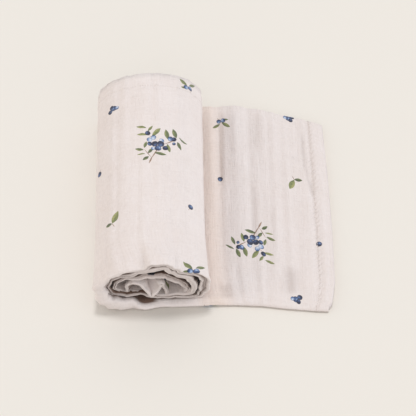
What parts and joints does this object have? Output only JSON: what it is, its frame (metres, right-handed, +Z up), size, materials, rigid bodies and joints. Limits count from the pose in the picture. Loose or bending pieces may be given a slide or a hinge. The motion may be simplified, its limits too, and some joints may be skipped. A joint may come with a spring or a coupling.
{
  "type": "swaddle blanket",
  "caption": "Soft muslin baby blanket folded lengthwise in layers and rolled up, with its hemmed end lying flat beside the roll.",
  "frame": {"origin": "middle of the blanket's footprint, on the surface that it lies on", "axes": "+Z up, +X from the roll towards the flat end, +Y along the roll from its near end to its far end"},
  "size_m": [0.307, 0.3216, 0.102],
  "materials": {
    "muslin": "soft matte two-layer cotton muslin, off-white with a faint pink warmth, printed with small sprigs of blue berries and green leaves"
  },
  "bodies": {
    "root": {"blanket": "muslin"}
  },
  "joints": []
}
